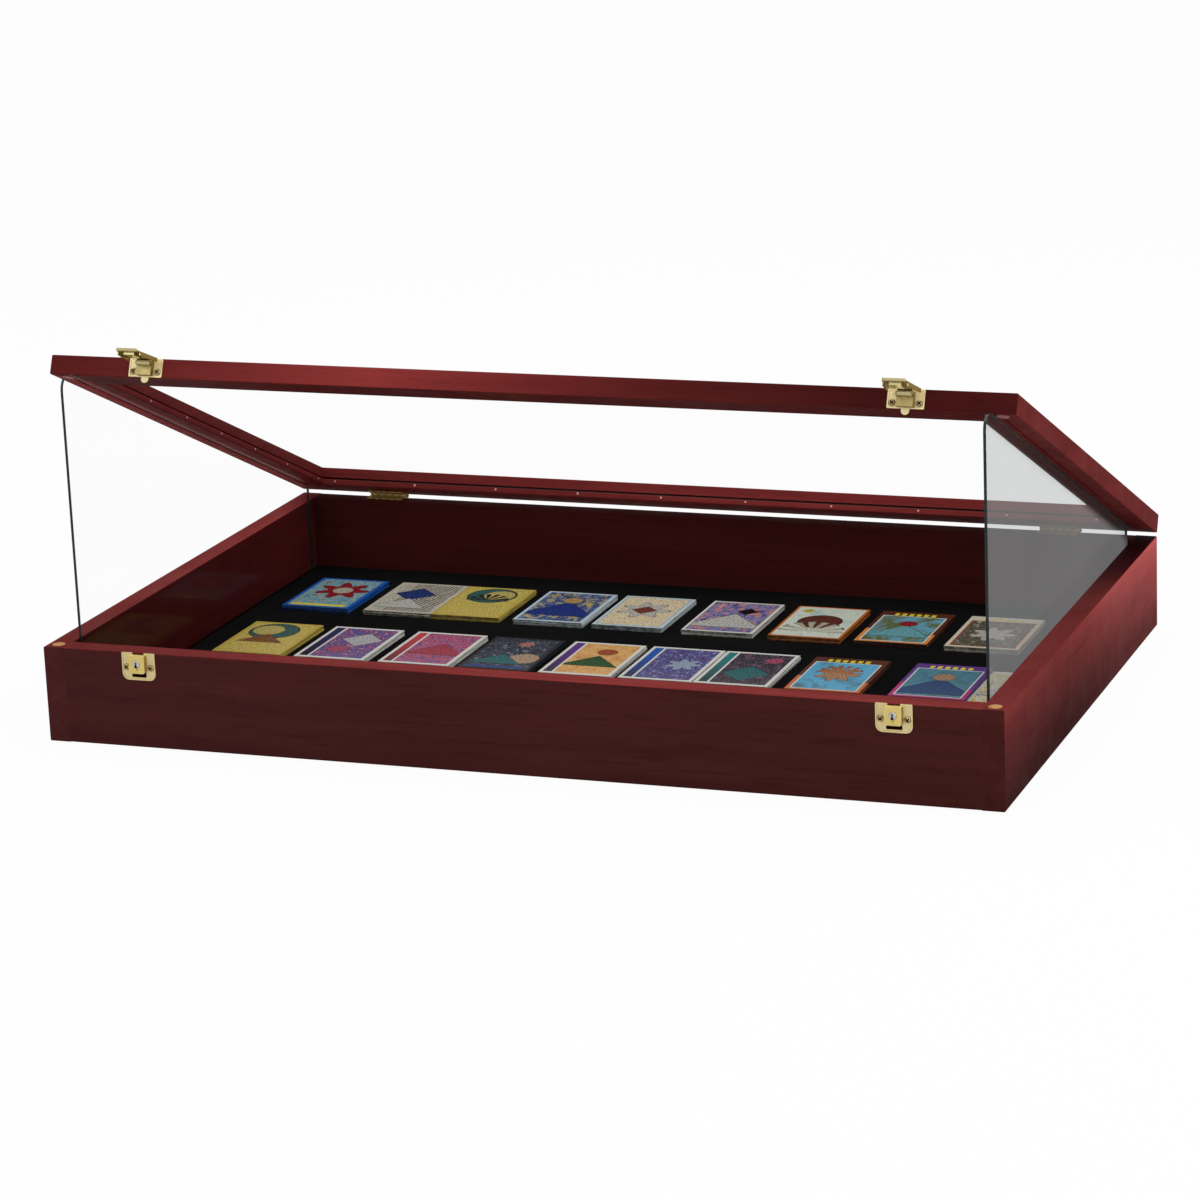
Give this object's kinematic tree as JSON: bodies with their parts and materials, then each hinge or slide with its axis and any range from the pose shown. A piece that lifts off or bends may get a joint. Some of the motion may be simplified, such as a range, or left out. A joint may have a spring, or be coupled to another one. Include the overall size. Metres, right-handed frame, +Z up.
{
  "type": "trading card display case",
  "caption": "Table-top wooden display case for trading cards: glazed lid propped open on glass side panes, black liner with card stacks, brass key-lock hasps and butt hinges.",
  "frame": {"origin": "centre of the flat underside", "axes": "+X to the viewer's right along the long side, front faces -Y, +Z up"},
  "size_m": [0.864, 0.5731, 0.3518],
  "materials": {
    "stained_wood": "red mahogany stain, satin",
    "plywood": "plain ply",
    "black_cloth": "matt black cloth",
    "steel": "bright",
    "glass": "clear, dark green edges",
    "card": "printed, gloss",
    "rubber": "soft, reddish",
    "brass": "polished"
  },
  "bodies": {
    "case_base": {"base_front_board": "stained_wood", "base_rear_board": "stained_wood", "base_left_board": "stained_wood", "base_right_board": "stained_wood", "bottom_panel": "plywood", "liner_board": "black_cloth", "corner_nails": "steel", "left_corner_stud": "brass", "right_corner_stud": "brass", "rear_card_row": "card", "front_card_row": "card", "left_hinge_base_leaf": "brass", "left_hinge_pin": "brass", "right_hinge_base_leaf": "brass", "right_hinge_pin": "brass", "hinge_base_screws": "brass", "left_lock_plate": "brass", "right_lock_plate": "brass", "lock_screws": "brass"},
    "lid": {"lid_front_rail": "stained_wood", "lid_rear_rail": "stained_wood", "lid_left_rail": "stained_wood", "lid_right_rail": "stained_wood", "lid_glass": "glass", "front_glass_bead": "stained_wood", "rear_glass_bead": "stained_wood", "left_glass_bead": "stained_wood", "right_glass_bead": "stained_wood", "bead_brads": "steel", "lid_pads": "rubber", "left_hinge_lid_leaf": "brass", "right_hinge_lid_leaf": "brass", "hinge_lid_screws": "brass", "left_catch_plate": "brass", "left_hasp_housing": "brass", "left_hasp_pin": "brass", "right_catch_plate": "brass", "right_hasp_housing": "brass", "right_hasp_pin": "brass", "catch_screws": "brass"},
    "left_pane": {"left_side_pane": "glass"},
    "right_pane": {"right_side_pane": "glass"},
    "left_lever": {"left_hasp_lever": "brass"},
    "right_lever": {"right_hasp_lever": "brass"},
    "left_cap": {"left_lock_cap": "brass"},
    "right_cap": {"right_lock_cap": "brass"},
    "left_key": {"left_key_cylinder": "steel"},
    "right_key": {"right_key_cylinder": "steel"}
  },
  "joints": [
    {"name": "lid_hinge", "type": "hinge", "parent": "case_base", "child": "lid", "pos_m": [0, 0.2835, 0.08675], "axis": [-1, 0, 0], "range_deg": [0, 155]},
    {"name": "left_pane_tip", "type": "hinge", "parent": "case_base", "child": "left_pane", "pos_m": [-0.4097, 0, 0.0173], "axis": [0, 1, 0], "range_deg": [0, 65]},
    {"name": "right_pane_tip", "type": "hinge", "parent": "case_base", "child": "right_pane", "pos_m": [0.4097, 0, 0.0173], "axis": [0, -1, 0], "range_deg": [0, 65]},
    {"name": "left_lever_swing", "type": "hinge", "parent": "lid", "child": "left_lever", "pos_m": [-0.34, -0.22914, 0.33265], "axis": [1, 0, 0], "range_deg": [0, 90], "stiffness_Nm_per_rad": 0.004, "springref_deg": -60.16},
    {"name": "right_lever_swing", "type": "hinge", "parent": "lid", "child": "right_lever", "pos_m": [0.34, -0.22914, 0.33265], "axis": [1, 0, 0], "range_deg": [0, 90], "stiffness_Nm_per_rad": 0.004, "springref_deg": -60.16},
    {"name": "left_cap_slide", "type": "slide", "parent": "case_base", "child": "left_cap", "axis": [0, 0, -1], "range_m": [0, 0.003], "stiffness_N_per_m": 100, "springref_m": -0.003},
    {"name": "right_cap_slide", "type": "slide", "parent": "case_base", "child": "right_cap", "axis": [0, 0, -1], "range_m": [0, 0.003], "stiffness_N_per_m": 100, "springref_m": -0.003},
    {"name": "left_key_turn", "type": "hinge", "parent": "left_cap", "child": "left_key", "pos_m": [-0.34, -0.2795, 0.077], "axis": [0, 1, 0], "range_deg": [0, 90]},
    {"name": "right_key_turn", "type": "hinge", "parent": "right_cap", "child": "right_key", "pos_m": [0.34, -0.2795, 0.077], "axis": [0, 1, 0], "range_deg": [0, 90]}
  ]
}
